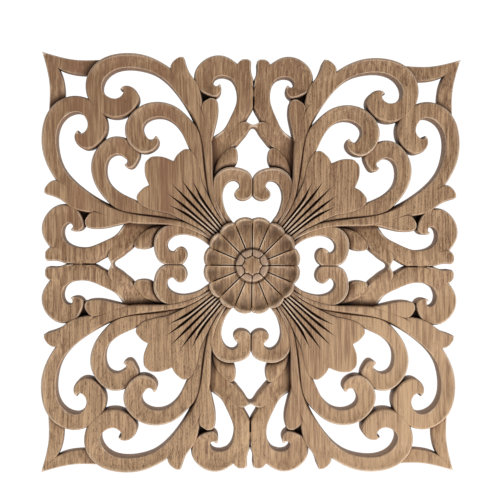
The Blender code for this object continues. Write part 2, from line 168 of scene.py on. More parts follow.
SMALL_SCROLL: tuple[Row, ...] = (
    (9.6, 15.4, 6.4, 6.8, 15.0, 6.8, 0.2),
    (11.9, 20.1, 6.6, 8.8, 19.8, 7.2, 0.2),
    (15.2, 24.6, 6.9, 12.0, 24.4, 7.4, 0.2),
    (17.8, 30.8, 7.1, 14.0, 30.0, 7.6, 0.0),
    (19.3, 38.5, 7.6, 14.2, 34.5, 7.5, -0.2),
    (17.3, 43.6, 8.2, 13.0, 38.0, 7.2, -0.4),
    (12.8, 46.6, 8.5, 10.8, 40.1, 7.1, -0.4),
    (6.5, 46.6, 8.5, 8.3, 40.4, 7.1, -0.4),
    (1.2, 43.9, 8.2, 6.7, 39.2, 7.1, -0.4),
    (-0.4, 39.0, 7.9, 6.3, 38.0, 7.2, -0.3),
    (0.4, 33.0, 8.1, 6.6, 37.3, 7.3, -0.2),
    (4.0, 30.9, 8.3, 7.0, 36.9, 7.5, 0.0),
    (7.3, 31.7, 8.1, 7.5, 36.4, 7.9, 0.0),
    (8.6, 33.8, 8.0, 7.9, 35.9, 7.9, 0.0),
    (8.4, 35.2, 8.0, 8.1, 35.6, 7.9, 0.0),
)
SPEAR: tuple[Row, ...] = (
    (23.6, 73.0, 7.0, 27.6, 73.0, 6.0, 0.0),
    (25.0, 81.0, 8.4, 31.5, 80.0, 7.0, 0.0),
    (27.2, 86.8, 8.8, 36.2, 86.5, 7.9, 0.0),
    (30.6, 91.3, 9.0, 39.2, 91.8, 8.6, 0.0),
    (32.3, 95.6, 9.0, 39.3, 94.8, 8.8, 0.0),
    (32.9, 97.5, 8.9, 37.8, 96.8, 8.8, 0.0),
    (33.6, 98.5, 8.8, 35.4, 98.4, 8.8, 0.0),
)
LOBE: tuple[Row, ...] = (
    (21.2, 53.0, 6.0, 22.2, 53.0, 6.0, 0.0),
    (19.5, 59.5, 7.6, 22.0, 59.0, 7.0, 0.1),
    (18.3, 64.5, 8.4, 22.6, 64.0, 7.1, 0.3),
    (17.0, 70.0, 8.7, 23.8, 70.0, 7.3, 0.3),
    (16.7, 75.3, 8.8, 24.9, 75.8, 8.2, 0.1),
    (17.5, 78.5, 8.8, 23.2, 78.1, 8.6, 0.0),
    (18.9, 79.4, 8.7, 20.9, 79.4, 8.7, 0.0),
)
BOW_LEAF: tuple[Row, ...] = (
    (11.5, 54.9, 4.4, 18.0, 59.0, 4.0, 0.0),
    (7.4, 57.2, 6.6, 12.6, 64.3, 6.0, 0.3),
    (5.1, 60.0, 7.3, 8.6, 66.9, 7.4, 0.3),
    (2.8, 62.9, 7.7, 5.2, 68.5, 8.2, 0.0),
    (1.0, 65.6, 8.0, 2.6, 68.2, 8.3, 0.0),
    (0.0, 66.0, 8.1, 0.9, 67.3, 8.3, 0.0),
    (-0.9, 66.1, 8.1, -0.9, 66.9, 8.2, 0.0),
)
BUD: tuple[Row, ...] = (
    (18.2, 40.0, 4.2, 19.6, 41.0, 4.4, 0.3),
    (16.0, 43.5, 4.2, 18.6, 46.0, 4.7, 1.2),
    (12.5, 45.5, 4.4, 16.6, 51.0, 5.0, 1.9),
    (9.2, 46.6, 5.0, 13.6, 54.4, 5.8, 1.8),
    (7.4, 49.4, 6.0, 11.2, 56.1, 6.4, 1.0),
    (7.2, 53.0, 6.8, 9.2, 56.4, 7.0, 0.3),
    (7.6, 55.0, 7.0, 8.2, 55.9, 7.1, 0.0),
)
HORN: tuple[Row, ...] = (
    (69.0, 97.6, 3.4, 75.0, 90.0, 3.0, 0.0),
    (77.0, 97.0, 4.1, 80.0, 89.7, 3.5, 0.1),
    (85.0, 96.8, 5.3, 86.0, 90.2, 4.6, 0.2),
    (92.5, 98.0, 6.2, 91.8, 92.0, 5.5, 0.1),
    (HALF_SPAN, HALF_SPAN, 6.6, 98.5, 96.5, 6.2, 0.0),
)
# Low webs that join the outer scroll's curl to the inner scroll, and the edge scroll's to the lobe.
CURL_WEB: tuple[Row, ...] = (
    (57.8, 68.8, 3.8, 60.6, 71.7, 3.8, 0.0),
    (53.7, 73.0, 3.8, 56.4, 75.3, 3.8, 0.0),
)
POCKET_WEB: tuple[Row, ...] = (
    (17.8, 77.4, 6.2, 17.5, 82.2, 6.2, 0.0),
    (21.0, 77.0, 3.0, 21.0, 82.6, 3.0, 0.0),
    (25.6, 76.0, 2.2, 27.4, 84.0, 2.2, 0.0),
)
# Half of the palmette's outline, from the rosette to its tip. The other half is its mirror image.
PALMETTE_OUTLINE: tuple[tuple[Row, ...], ...] = (
    ((10.0, 14.0), (13.3, 20.3), (15.8, 23.2), (18.5, 28.0), (20.6, 32.0), (22.6, 36.0)),
    ((22.6, 36.0), (24.5, 40.5), (25.3, 45.0), (26.5, 49.5), (28.0, 52.7), (30.2, 54.9)),
    ((30.2, 54.9), (32.2, 55.2), (34.6, 53.8), (36.7, 51.6), (37.8, 49.4)),
    ((37.8, 49.4), (39.5, 50.1), (42.5, 51.2), (46.0, 51.5), (49.3, 50.6), (49.9, 49.9)),
)
PALMETTE_SLOPE = (7.0, 7.9)  # height at the rosette and at the tip
# Each flute's line, from the rosette outwards: across and up. The last one is on the diagonal.
FLUTES: tuple[tuple[Row, ...], ...] = (
    ((12.6, 16.4), (19.9, 25.5), (24.7, 32.3), (28.5, 40.0)),
    ((13.6, 15.3), (22.2, 25.6), (28.4, 33.1), (34.1, 40.8)),
    ((14.4, 14.4), (38.9, 38.9)),
)


def smooth_through(knots: np.ndarray, reach: np.ndarray, places: np.ndarray) -> np.ndarray:
    """Reads the smooth cubic through the knots, bent least at its two ends.

    Args:
        knots: One row of values per knot.
        reach: How far along the curve each knot lies.
        places: Where along the curve to read it.

    Returns:
        One row of values per place.
    """
    count = len(reach)
    step = np.diff(reach)
    slope = np.diff(knots, axis=0) / step[:, None]
    matrix = np.zeros((count, count))
    target = np.zeros(knots.shape)
    matrix[0, :2] = 2, 1
    matrix[-1, -2:] = 1, 2
    target[0] = 3 * slope[0]
    target[-1] = 3 * slope[-1]
    for i in range(1, count - 1):
        matrix[i, i - 1 : i + 2] = step[i], 2 * (step[i - 1] + step[i]), step[i - 1]
        target[i] = 3 * (step[i] * slope[i - 1] + step[i - 1] * slope[i])
    tangent = np.linalg.solve(matrix, target)
    i = np.clip(np.searchsorted(reach, places, side="right") - 1, 0, count - 2)
    h = step[i][:, None]
    t = ((places - reach[i]) / step[i])[:, None]
    start = (1 + 2 * t) * (1 - t) ** 2 * knots[i] + t * (1 - t) ** 2 * h * tangent[i]
    end = t * t * (3 - 2 * t) * knots[i + 1] + t * t * (t - 1) * h * tangent[i + 1]
    return start + end


@dataclass(frozen=True)
class Curve:
    """A smooth curve through knots, read closely where it turns and widely where it runs straight."""

    knots: tuple[Row, ...]
    pairs: tuple[tuple[int, int], ...] = ((0, 1),)  # columns that hold points of the plane
    error: float = 0.012  # how far a chord may stand off the curve
    longest: float = 2.6  # chord
    apart: float = 0.09  # least distance of a station from one near the end
    fine: int = 900  # places that the turning is measured at

    def stations(self, ends: Sequence[float] = ()) -> tuple[np.ndarray, np.ndarray]:
        """Reads the curve at its stations.

        Args:
            ends: Distances from the far end at which there is a station as well.

        Returns:
            The values at each station, and its distance from the far end.
        """
        knots = np.array(self.knots, float)
        plane = [axis for pair in self.pairs for axis in pair]
        chords = np.diff(knots[:, plane], axis=0)
        reach = np.concatenate([[0], np.cumsum(np.sqrt((chords**2).sum(axis=1) / len(self.pairs)))])
        fine = np.linspace(0, reach[-1], self.fine)
        first = np.gradient(smooth_through(knots, reach, fine), fine, axis=0)
        second = np.gradient(first, fine, axis=0)
        density = np.full(self.fine, 1 / self.longest)
        for across, up in self.pairs:
            turn = np.abs(first[:, across] * second[:, up] - first[:, up] * second[:, across])
            speed = np.hypot(first[:, across], first[:, up]) + 1e-9
            density = np.maximum(density, np.sqrt(turn / (8 * self.error * speed)))
        spent = np.concatenate([[0], np.cumsum((density[1:] + density[:-1]) / 2 * np.diff(fine))])
        count = max(2, math.ceil(spent[-1]) + 1)
        places = np.interp(np.linspace(0, spent[-1], count), spent, fine)
        marks = reach[-1] - np.array(ends)
        clear = [place for place in places if np.all(np.abs(marks - place) > self.apart)]
        places = np.sort(np.concatenate([clear, marks]))
        return smooth_through(knots, reach, places), reach[-1] - places


def draped_grid(points: np.ndarray, closed: bool = False) -> bmesh.types.BMesh:
    """Lays a grid over points, so that its lines run along them.

    Args:
        points: In millimetres (across, up, height), by row and column.
        closed: Whether the last column is the first one again.

    Returns:
        The grid as a bmesh in metres, with doubles merged.
    """
    rows, columns = points.shape[:2]
    mesh = bmesh.new()
    bmesh.ops.create_grid(mesh, x_segments=rows - 1, y_segments=columns - 1, size=0.5)
    for vertex in mesh.verts:
        row = round((vertex.co.x + 0.5) * (rows - 1))
        column = round((vertex.co.y + 0.5) * (columns - 1))
        across, up, height = points[row, column] * MM
        vertex.co = (across, -height, up)
    if closed:
        bmesh.ops.remove_doubles(mesh, verts=mesh.verts, dist=1e-7)
    return mesh


def solid_object(name: str, mesh: bmesh.types.BMesh) -> bpy.types.Object:
    """Closes a bmesh, turns its faces out and makes a hidden object of it.

    Args:
        name: The object's name.
        mesh: The bmesh, which is freed.

    Returns:
        The object, in the scene's collection.
    """
    open_edges = [edge for edge in mesh.edges if edge.is_boundary]
    if open_edges:
        bmesh.ops.holes_fill(mesh, edges=open_edges, sides=0)
    mesh.normal_update()
    crowded = [face for face in mesh.faces if len(face.verts) > 3]
    bmesh.ops.triangulate(mesh, faces=crowded, ngon_method="EAR_CLIP")
    bmesh.ops.recalc_face_normals(mesh, faces=mesh.faces)
    data = bpy.data.meshes.new(name)
    mesh.to_mesh(data)
    mesh.free()
    made = bpy.data.objects.new(name, data)
    bpy.context.scene.collection.objects.link(made)
    made.hide_render = True
    return made


def swapped(points: np.ndarray) -> np.ndarray:
    """The points with across and up swapped: their mirror image in the quarter's diagonal."""
    return points[..., [1, 0, *range(2, points.shape[-1])]]


class Side(Enum):
    """Which of the two mirror images beside the diagonal a leaf is."""

    UPPER = "upper"
    LOWER = "lower"


def smooth_step(value: np.ndarray, low: float, high: float) -> np.ndarray:
    """Rises smoothly from 0 at low to 1 at high."""
    t = np.clip((value - low) / (high - low), 0, 1)
    return t * t * (3 - 2 * t)


@dataclass(frozen=True)
class BroadFace:
    """The one even face above the stem, which the outer scroll shares with its spear and its lobe."""

    height: float = 8.1  # at the foot
    rise: float = 0.016  # per millimetre up
    foot: float = 67.0
    head: float = 85.0
    sink: float = 0.8  # how far the root dives below the face
    dive_share: float = 0.2  # of the strand's length, over which the root comes up
    run_in: float = 7.0  # millimetres below the foot over which a strand joins the face
    run_out: float = 6.0  # millimetres above the head over which it leaves the face
    groove: tuple[float, float] = (0.0, 1.0)  # depth and width of the fall to the right rail
    groove_end: tuple[float, float] = (66.0, 79.0)  # heights up the panel between which it runs out

    def blend(self, face: np.ndarray, from_right: np.ndarray, along: float) -> np.ndarray:
        """Lays the points of a strand's face on the shared one, as far up and down as that reaches.

        Args:
            face: Points: across, up and height.
            from_right: Their distances from the right rail.
            along: Share of the strand's length.

        Returns:
            The points' heights.
        """
        up, own = face[:, 1], face[:, 2]
        depth, width = self.groove
        open_groove = 1 - smooth_step(up, *self.groove_end)
        fall = depth * open_groove * np.clip(1 - from_right / width, 0, 1) ** 2
        dive = self.sink * (1 - smooth_step(np.array(along), 0.0, self.dive_share))
        shared = self.height + self.rise * (up - self.foot) - dive
        joined = smooth_step(up, self.foot - self.run_in, self.foot)
        share = joined * (1 - smooth_step(up, self.head, self.head + self.run_out))
        return own + (shared - own) * share - fall


@dataclass(frozen=True)
class Strand:
    """A scroll or leaf between two rails, with upright sides and a worked edge along each."""

    name: str
    knots: tuple[Row, ...]
    left_edge: tuple[float, float] = (0.8, 0.8)  # width of the left rail's rounding, at root and tip
    right_edge: float = 0.6
    face_rows: int = 4  # between the two roundings
    tip_rounded: bool = True
    broad: BroadFace | None = None

    ARC = (0.0, 18.0, 36.0, 53.0, 68.0)  # degrees of the rounding, which meets the face at a faint line
    MOST_SHARE = 0.34  # of the strand's width that one rounding may take
    TIP_RADIUS = 0.75
    TIP_ARC = (0.0, 30.0, 60.0, 90.0)  # degrees of the tip's rounding

    def build(self, side: Side, overrun: float) -> bpy.types.Object:
        """Builds the strand as a closed body.

        Args:
            side: Which mirror image to build.
            overrun: How far it runs behind the back.

        Returns:
            A hidden object, to be joined to the rest.
        """
        tip_arc = np.radians(self.TIP_ARC)
        ends = self.TIP_RADIUS * (1 - np.cos(tip_arc)) if self.tip_rounded else (0.0,)
        values, left_over = Curve(self.knots, ((0, 1), (3, 4))).stations(ends)
        rings = []
        for row, gap in zip(values, left_over):
            rings.append(self._section(row, gap, 1 - gap / left_over[0], overrun))
        points = np.array(rings)
        if side is Side.LOWER:
            points = swapped(points)
            points[..., 2] -= UNDER * (points[..., 2] > 0)
        return solid_object(f"{self.name}_{side.value}", draped_grid(points, closed=True))

    def _section(self, row: np.ndarray, gap: float, along: float, overrun: float) -> np.ndarray:
        """Works out one cross-section.

        Args:
            row: Both rails' points and heights, and the face's crown.
            gap: Distance from the strand's tip.
            along: Share of the strand's length.
            overrun: How far the section runs behind the back.

        Returns:
            The section's points, the first one repeated at the end.
        """
        left, right = row[0:3], row[3:6]
        crown = row[6]
        width = float(np.hypot(*(right - left)[:2]))
        root, tip = self.left_edge
        near_share, near_drop = self._rounding(root + (tip - root) * along, width)
        far_share, far_drop = self._rounding(self.right_edge, width)
        middle = np.linspace(near_share[-1], 1 - far_share[-1], self.face_rows + 2)[1:-1]
        share = np.concatenate([near_share, middle, 1 - far_share[::-1]])
        drop = np.concatenate([near_drop, np.zeros(self.face_rows), far_drop[::-1]])
        if self.tip_rounded and gap < self.TIP_RADIUS:
            inward = self.TIP_RADIUS - gap
            drop = np.maximum(drop, self.TIP_RADIUS - math.sqrt(self.TIP_RADIUS**2 - inward**2))
        face = left + share[:, None] * (right - left)
        face[:, 2] += crown * 4 * share * (1 - share)
        if self.broad:
            face[:, 2] = self.broad.blend(face, (1 - share) * width, along)
        face[:, 2] -= drop
        ring = [(*left[:2], -overrun), *face, (*right[:2], -overrun)]
        return np.array([*ring, ring[0]])

    def _rounding(self, reach: float, width: float) -> tuple[np.ndarray, np.ndarray]:
        """Works out the rounding of one edge.

        Args:
            reach: How far it comes in from the rail.
            width: The strand's width.

        Returns:
            Each point's share of the width, and how far it lies below the face.
        """
        arc = np.radians(self.ARC)
        reach = min(reach, self.MOST_SHARE * width)
        radius = reach / (1 - math.cos(arc[-1]))
        return radius * (1 - np.cos(arc)) / width, radius * (math.sin(arc[-1]) - np.sin(arc))


@dataclass(frozen=True)
class Palmette:
    """The leaf along the diagonal: a flat lobed shape that rises towards its tip."""

    arris: float = 0.7
    border: float = 0.9  # flat margin inside the arris, which keeps the face's shading even
    longest: float = 1.6  # chord of its outline

    LIFT = 1.0  # metres that tell the points of the top from those of the back

    def face_height(self, across: float, up: float) -> float:
        """Reads the height of the face, which rises evenly along the diagonal.

        Args:
            across: Where to read it.
            up: Where to read it.

        Returns:
            The height in millimetres.
        """
        low, high = PALMETTE_SLOPE
        start = sum(PALMETTE_OUTLINE[0][0])
        end = sum(PALMETTE_OUTLINE[-1][-1])
        return low + (high - low) * (across + up - start) / (end - start)

    def build(self, overrun: float) -> bpy.types.Object:
        """Builds the palmette as a closed body.

        Args:
            overrun: How far it runs behind the back.

        Returns:
            A hidden object, to be joined to the rest.
        """
        half = [Curve(part, longest=self.longest).stations()[0][:-1] for part in PALMETTE_OUTLINE]
        half = np.vstack([*half, [PALMETTE_OUTLINE[-1][-1]]])
        outline = np.vstack([half, swapped(half)[::-1][1:]])
        mesh = bmesh.new()
        corners = [mesh.verts.new((x * MM, 0, z * MM)) for x, z in outline]
        sheet = mesh.faces.new(corners)
        risen = bmesh.ops.extrude_face_region(mesh, geom=[sheet])["geom"]
        top = next(item for item in risen if isinstance(item, bmesh.types.BMFace))
        bmesh.ops.translate(mesh, verts=top.verts, vec=(0, -self.LIFT, 0))
        rim = list(top.edges)
        bmesh.ops.bevel(
            mesh,
            geom=rim,
            offset=self.arris * MM,
            offset_type="OFFSET",
            segments=3,
            profile=0.5,
            affect="EDGES",
            material=-1,
            clamp_overlap=False,
        )
        mesh.normal_update()
        face = min(mesh.faces, key=lambda f: (round(f.calc_center_median().y, 6), -f.calc_area()))
        bmesh.ops.inset_region(mesh, faces=[face], thickness=self.border * MM, use_even_offset=True)
        for vertex in mesh.verts:
            lifted = -vertex.co.y
            if lifted > self.LIFT / 2:
                face_height = self.face_height(vertex.co.x / MM, vertex.co.z / MM)
                vertex.co.y = (self.LIFT - lifted) - face_height * MM
            else:
                vertex.co.y = overrun * MM
        return solid_object("palmette", mesh)


@dataclass(frozen=True)
class Vein:
    """The cutter of one V groove with softened shoulders, which runs out at its end."""

    name: str
    path: tuple[Row, ...]
    half_width: float
    depth: float
    clearance: float = 1.0  # how far the cutter stands above the wood
    steps: int = 22
    fade: float = 0.5  # share of the length over which the groove runs out
    fade_in: float = 0.0  # share of the length over which it runs in
    start: float = 1.0  # its size at the start, as a share of the most

    GROWTH = 0.6  # share of the length over which the start grows to the full size
    LEAST = 0.02  # size at a closed end, as a share of the most
    FLARE = 1.35  # where the groove meets the wood, in half widths
    LIP = 0.06  # millimetres above the wood there
    SHOULDER = (0.8, 0.22)  # across in half widths and down in depths, where the V steepens
    SPLAY = 0.4  # how far the cutter widens above the wood, in clearances

    def build(self, heights: Sequence[float], side: Side) -> bpy.types.Object:
        """Builds the cutter.

        Args:
            heights: Of the wood at each step, or one for all.
            side: Which mirror image to build.

        Returns:
            A hidden object, to be cut away.
        """
        path = self.points()
        if side is Side.LOWER:
            path = swapped(path)
        along = np.gradient(path, axis=0)
        along /= np.hypot(along[:, 0], along[:, 1])[:, None]
        rings = []
        for i, ((x, z), (dx, dz)) in enumerate(zip(path, along)):
            t = i / (self.steps - 1)
            growth = min(1.0, self.start + (1 - self.start) * t / self.GROWTH)
            size = min(1.0, (1 - t) / self.fade) * growth
            if self.fade_in:
                size = min(size, t / self.fade_in)
            size = max(size, self.LEAST)
            half, depth = self.half_width * size, self.depth * size
            top = heights[min(i, len(heights) - 1)]
            flare = half * self.FLARE
            spread = flare + self.clearance * self.SPLAY
            shoulder, fall = half * self.SHOULDER[0], self.SHOULDER[1] * depth
            profile = (
                (-spread, self.clearance),
                (-flare, self.LIP),
                (-shoulder, -fall),
                (0.0, -depth),
                (shoulder, -fall),
                (flare, self.LIP),
                (spread, self.clearance),
            )
            ring = [(x - dz * s, z + dx * s, top + h) for s, h in profile]
            rings.append([*ring, ring[0]])
        mesh = draped_grid(np.array(rings), closed=True)
        return solid_object(f"{self.name}_{side.value}", mesh)

    def points(self) -> np.ndarray:
        """The groove's line, at its steps."""
        reach = np.linspace(0, 1, len(self.path))
        return smooth_through(np.array(self.path, float), reach, np.linspace(0, 1, self.steps))


class Zone(Enum):
    """Which part of the rosette a row belongs to."""

    BOSS = "boss"
    RING = "ring"
    PETAL = "petal"


@dataclass(frozen=True)
class Rosette:
    """Sixteen scooped petals round a ring of eight teeth and a low eight-sided boss."""

    petals: int = 16
    tip: float = 23.4
    notch: float = 21.7
    root: float = 8.2
    boss_corner: float = 4.8
    boss_side: float = 4.1
    boss_height: float = 11.5
    line_half: float = 0.30  # half width of the line between two petals
    line_depth: float = 1.2
    dish: float = 1.3  # how much higher a petal is at its sides than in its middle
    arris: float = 1.0
    root_height: float = 8.7
    rim_height: float = 9.45
    tooth_radius: float = 5.0  # where the teeth's sides are judged
    tooth_half: float = 0.32  # half width of the cut between two teeth
    tooth_depth: float = 0.9

    LINE_STOPS = ((0.0, 0.0), (0.15, 0.1), (0.32, 0.2), (0.8, 0.42))  # mm, and the most share
    INNER_STOPS = (0.62, 0.82)
    ANYWHERE = 99.0  # mm, so that only the share counts
    BOSS_ROWS = ((-0.9, 0.2), (-0.25, 0.5), (0.0, 1.3))  # beyond the boss's edge, and below its top
    FOOT_ROWS = ((0.2, 1.0), (0.8, 0.75))  # the same for the ring's inner rows
    RING_ROWS = ((6.3, 0.7), (7.1, 0.9), (7.6, 1.3), (7.9, 2.6))  # radius, and below the boss's top
    # Along a petal: share of its length, and height in its middle.
    PETAL_ROWS = (
        (0.06, 9.15),
        (0.14, 9.15),
        (0.25, 9.0),
        (0.37, 8.8),
        (0.48, 8.55),
        (0.58, 8.3),
        (0.67, 8.05),
        (0.75, 7.95),
        (0.82, 8.4),
        (0.88, 9.0),
    )
    RIM_ARC = (90.0, 60.0, 30.0, 0.0)  # degrees of the rounding at the petals' ends
    DISH_START = 0.35  # share of the dish at a petal's root
    DISH_GROWTH = 1.1
    DISH_END = 0.75  # share of a petal's length from which the dish runs out
    LINE_END = (0.4, 1.5)  # mm inside the notch where the line ends, and over which it runs out

    def build(self, overrun: float) -> bpy.types.Object:
        """Builds the rosette as a closed body.

        Args:
            overrun: How far it runs behind the back.

        Returns:
            A hidden object, which the rest is joined to.
        """
        columns = []
        for petal in range(self.petals):
            for column in self._column_places():
                columns.append(self._column(petal, column, overrun))
        columns.append(columns[0])
        return solid_object("carved_onlay_visual", draped_grid(np.array(columns), closed=True))

    def _column_places(self) -> list[tuple[float, float, int]]:
        """Lists where a petal's columns stand.

        Returns:
            Each column's distance from the petal's side, its most share, and which side that is.
        """
        near = [(distance, share, -1) for distance, share in self.LINE_STOPS]
        near += [(self.ANYWHERE, share, -1) for share in self.INNER_STOPS]
        far = [(distance, share, 1) for distance, share, _ in near[:0:-1]]
        return [*near, (self.ANYWHERE, 1.0, 1), *far]

    def _column(self, petal: int, place: tuple[float, float, int], overrun: float) -> np.ndarray:
        """Works out the points of one column, from the middle of the boss to the back.

        Args:
            petal: The petal's number.
            place: The column's distance from the petal's side, most share, and side.
            overrun: How far the column runs behind the back.

        Returns:
            The column's points.
        """
        half = math.pi / self.petals
        distance, most, sign = place

        def share_at(radius: float) -> float:
            """From -1 on one side of the petal by 0 in its middle to 1 on the other."""
            inward = min(most, distance / (max(radius, 1e-6) * half))
            return sign * (1 - inward)

        outer_share = share_at(self.tip)
        edge = self.notch + (self.tip - self.notch) * math.sqrt(max(0.0, 1 - outer_share**2))
        ring_side = share_at(self.tooth_radius)
        tooth = petal % 2 == (0 if sign < 0 else 1)  # whether the near side is a tooth's side
        boss = self._boss_radius(petal, ring_side)
        points = []
        for radius, height, zone in self._rows(edge, boss):
            share = share_at(radius)
            angle = (2 * petal + 1 + share) * half
            beside = (1 - abs(share)) * half * radius
            if zone is Zone.PETAL:
                height += self._petal_relief(radius, share, beside, edge)
            elif zone is Zone.RING and tooth:
                height -= self.tooth_depth * max(0.0, 1 - beside / self.tooth_half)
            points.append((radius * math.cos(angle), radius * math.sin(angle), height))
        x, z, _ = points[-1]
        points.append((x, z, -overrun))
        return np.array(points)

    def _boss_radius(self, petal: int, share: float) -> float:
        """Radius of the boss's edge, whose eight sides are hollow between its corners."""
        to_corner = (1 + share) / 2 if petal % 2 else (1 - share) / 2
        return self.boss_side + (self.boss_corner - self.boss_side) * to_corner**1.5

    def _rows(self, edge: float, boss: float) -> list[tuple[float, float, Zone]]:
        """Radius, height and zone of a column's rows, from the middle outwards.

        Args:
            edge: Radius of the petal's edge at this column.
            boss: Radius of the boss's edge at this column.

        Returns:
            One row per line round the rosette.
        """
        top = self.boss_height
        rows = [(0.0, top, Zone.BOSS), (0.5 * boss, top - 0.05, Zone.BOSS)]
        rows += [(boss + beyond, top - drop, Zone.BOSS) for beyond, drop in self.BOSS_ROWS]
        rows += [(boss + beyond, top - drop, Zone.RING) for beyond, drop in self.FOOT_ROWS]
        rows += [(radius, top - drop, Zone.RING) for radius, drop in self.RING_ROWS]
        rows.append((self.root, self.root_height, Zone.PETAL))
        span = edge - self.root
        rows += [(self.root + span * share, height, Zone.PETAL) for share, height in self.PETAL_ROWS]
        for angle in self.RIM_ARC:
            turn = math.radians(angle)
            inset = self.arris * (1 - math.cos(turn))
            drop = self.arris * (1 - math.sin(turn))
            rows.append((edge - inset, self.rim_height - drop, Zone.PETAL))
        return rows

    def _petal_relief(self, radius: float, share: float, beside: float, edge: float) -> float:
        """What the dish and the line beside a petal add to its height.

        Args:
            radius: Of the point.
            share: Across the petal, from -1 to 1.
            beside: Distance from the petal's side.
            edge: Radius of the petal's edge here.

        Returns:
            The change of height.
        """
        outward = (radius - self.root) / (edge - self.root)
        run_out = max(0.0, 1 - max(0.0, outward - self.DISH_END) / (1 - self.DISH_END))
        dish = self.dish * min(1.0, self.DISH_START + self.DISH_GROWTH * outward) * run_out
        raised = dish * share**4
        margin, fade = self.LINE_END
        line_end = max(0.0, min(1.0, (self.notch - margin - radius) / fade))
        line = self.line_depth * line_end * max(0.0, 1 - beside / self.line_half)
        return raised - line


class Quarter:
    """The strands, leaves and veins of the quarter with across and up above zero."""

    SLIT_HEIGHT = 7.6  # of the wood at the dark lines between two leaves
    MITRE_HEIGHT = 5.6  # of the wood at the horn's mitre

    def __init__(self) -> None:
        """Lists the quarter's strands."""
        alike = (
            Strand("edge_scroll", EDGE_SCROLL, left_edge=(0.7, 1.0)),
            Strand("leaf_tip", LEAF_TIP),
            Strand("small_scroll", SMALL_SCROLL, left_edge=(0.7, 1.0)),
            Strand("spear", SPEAR, broad=BroadFace()),
            Strand("lobe", LOBE, broad=BroadFace()),
            Strand("bow_leaf", BOW_LEAF, left_edge=(1.9, 1.2)),
            Strand("bud", BUD, left_edge=(0.7, 0.7)),
            Strand("horn", HORN, left_edge=(0.6, 0.5), tip_rounded=False),
            Strand("curl_web", CURL_WEB, tip_rounded=False),
            Strand("pocket_web", POCKET_WEB, tip_rounded=False),
        )
        self.pairs = [(strand, strand) for strand in alike]
        dipped = tuple(
            (*row[:2], row[2] - OUTER_SCROLL_DIP.get(i, 0), *row[3:])
            for i, row in enumerate(OUTER_SCROLL)
        )
        edge = (0.7, 1.1)
        broad = BroadFace(sink=0.0, groove=(3.4, 1.5))
        stalk = Strand("outer_scroll", OUTER_SCROLL, edge, right_edge=0.5, broad=broad)
        curl = Strand("inner_scroll", INNER_SCROLL, edge)
        self.pairs.append((stalk, replace(stalk, knots=dipped)))
        self.pairs.append((curl, replace(curl, knots=LOWER_SCROLL)))
        self.palmette = Palmette()

    def build(self) -> tuple[list[bpy.types.Object], list[bpy.types.Object]]:
        """Builds the quarter's bodies and cutters.

        Returns:
            The bodies to join, and the cutters of the veins.
        """
        bodies = []
        for upper, lower in self.pairs:
            bodies.append(upper.build(Side.UPPER, OVERRUN + STAGGER * len(bodies)))
            bodies.append(lower.build(Side.LOWER, OVERRUN + STAGGER * len(bodies)))
        bodies.append(self.palmette.build(OVERRUN + STAGGER * len(bodies)))
        return bodies, self._flutes() + self._slits()

    def _flutes(self) -> list[bpy.types.Object]:
        """Makes the cutters of the palmette's five flutes.

        Returns:
            The cutters.
        """
        cutters = []
        for number, path in enumerate(FLUTES):
            vein = Vein(f"flute_{number}", path, half_width=0.6, depth=2.2, fade=0.33, start=0.55)
            heights = [self.palmette.face_height(x, z) for x, z in vein.points()]
            cutters.append(vein.build(heights, Side.UPPER))
            if number < len(FLUTES) - 1:
                cutters.append(vein.build(heights, Side.LOWER))
        return cutters

    def _slits(self) -> list[bpy.types.Object]:
        """Makes the cutters of the dark lines where two leaves touch, and of the horn's mitre.

        Returns:
            The cutters.
        """
        slit = Vein("slit", (), half_width=0.3, depth=2.2, fade=0.1, fade_in=0.1, steps=9)
        small_path = ((0.0, 31.3), (0.0, 42.4))
        slits = (
            replace(slit, name="edge_axis", path=((0.0, 74.5), (0.0, 81.0)), depth=1.8),
            replace(slit, name="edge_top", path=((0.0, 89.5), (0.0, 83.5))),
            replace(slit, name="small_axis", path=small_path, half_width=0.42, depth=0.7),
        )
        cutters = [slit.build([self.SLIT_HEIGHT], side) for slit in slits for side in Side]
        mitre = Vein("horn_mitre", ((89.0, 89.0), (92.6, 92.6)), half_width=0.35, depth=3.0, steps=7)
        cutters.append(mitre.build([self.MITRE_HEIGHT], Side.UPPER))
        return cutters


